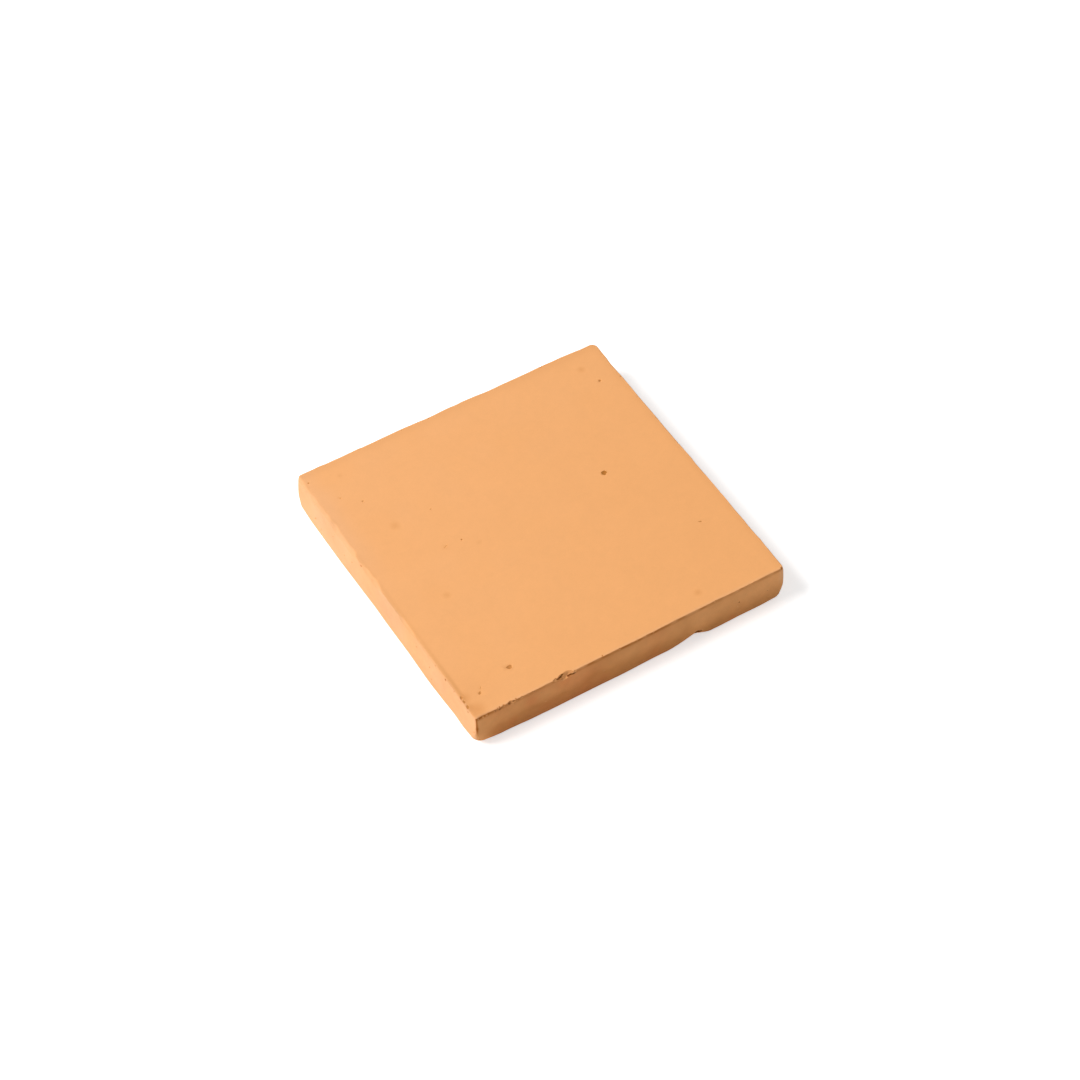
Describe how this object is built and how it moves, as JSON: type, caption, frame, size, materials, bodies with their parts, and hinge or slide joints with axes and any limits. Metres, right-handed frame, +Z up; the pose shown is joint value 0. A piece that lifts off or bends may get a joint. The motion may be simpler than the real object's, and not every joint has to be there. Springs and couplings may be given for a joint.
{
  "type": "concrete paving slab",
  "caption": "Square, buff-coloured concrete paving slab with a flat walking face, sides that swell a little, a rounded lower edge, worn lower corners and chipped arrises.",
  "frame": {"origin": "centre of the underside, on the surface that the slab lies on", "axes": "+Z up through the thickness, +X and +Y along the sides, with the chipped and nicked side facing -Y"},
  "size_m": [0.4, 0.4, 0.05],
  "materials": {
    "concrete": "matte"
  },
  "bodies": {
    "root": {"paving_slab": "concrete"}
  },
  "joints": []
}
